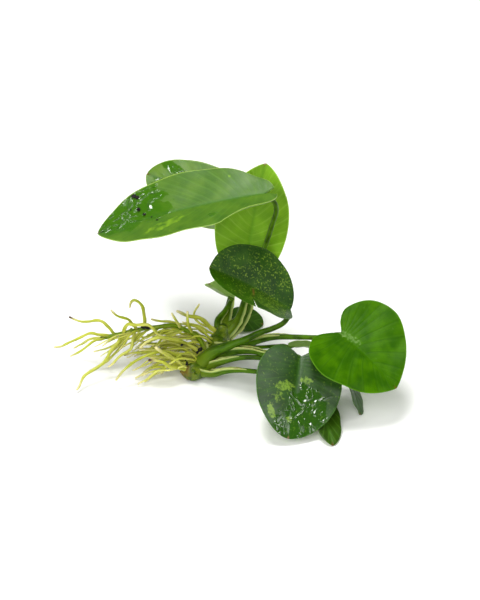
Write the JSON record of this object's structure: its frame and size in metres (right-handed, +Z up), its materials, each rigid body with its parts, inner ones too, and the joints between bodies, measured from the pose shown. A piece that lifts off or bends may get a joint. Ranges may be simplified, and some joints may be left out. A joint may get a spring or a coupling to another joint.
{
  "type": "bare-root anubias plant",
  "caption": "Bare-root aquarium plant lying down: a thick creeping rhizome, stalked lance and heart shaped leaves, an aerial runner and a spread of pale roots.",
  "frame": {"origin": "middle of the flat patch under the rhizome, on the surface that the plant lies on", "axes": "+Z up; the roots trail towards -X, the growing end of the rhizome points towards +Y, and the front leaves hang towards -Y"},
  "size_m": [0.1592, 0.12, 0.0913],
  "materials": {
    "rhizome": "matte",
    "runner": "satin",
    "stalk": "satin",
    "root": "satin",
    "leaf_green": "satin",
    "leaf_pale": "satin",
    "leaf_mottled": "satin",
    "leaf_bright": "satin",
    "leaf_variegated": "gloss",
    "leaf_dark": "satin"
  },
  "bodies": {
    "root": {"rhizome": "rhizome", "runner": "runner", "stalk_lance": "stalk", "stalk_back": "stalk", "stalk_upright": "stalk", "stalk_mottled": "stalk", "stalk_heart": "stalk", "stalk_front": "stalk", "stalk_edge": "stalk", "stalk_narrow": "stalk", "stalk_low_back": "stalk", "stalk_small": "stalk", "stalk_young": "stalk", "leaf_lance": "leaf_green", "leaf_back": "leaf_green", "leaf_upright": "leaf_pale", "leaf_mottled": "leaf_mottled", "leaf_heart": "leaf_bright", "leaf_front": "leaf_variegated", "leaf_edge": "leaf_dark", "leaf_narrow": "leaf_dark", "leaf_low_back": "leaf_dark", "leaf_small": "leaf_dark", "leaf_young": "leaf_pale", "root_far_top": "root", "root_far_long": "root", "root_far_short": "root", "root_far_low": "root", "root_hook": "root", "root_side_up": "root", "root_arch": "root", "root_long_front": "root", "root_down_front": "root", "root_down_short": "root", "root_low_long": "root", "root_low_red": "root", "root_foot": "root", "root_diagonal": "root", "root_top_thick": "root", "root_top_thin": "root", "root_rise_right": "root", "root_rise_left": "root", "root_behind_runner": "root", "root_middle": "root", "root_middle_back": "root", "root_ground_back": "root", "root_ground_front": "root"}
  },
  "joints": []
}
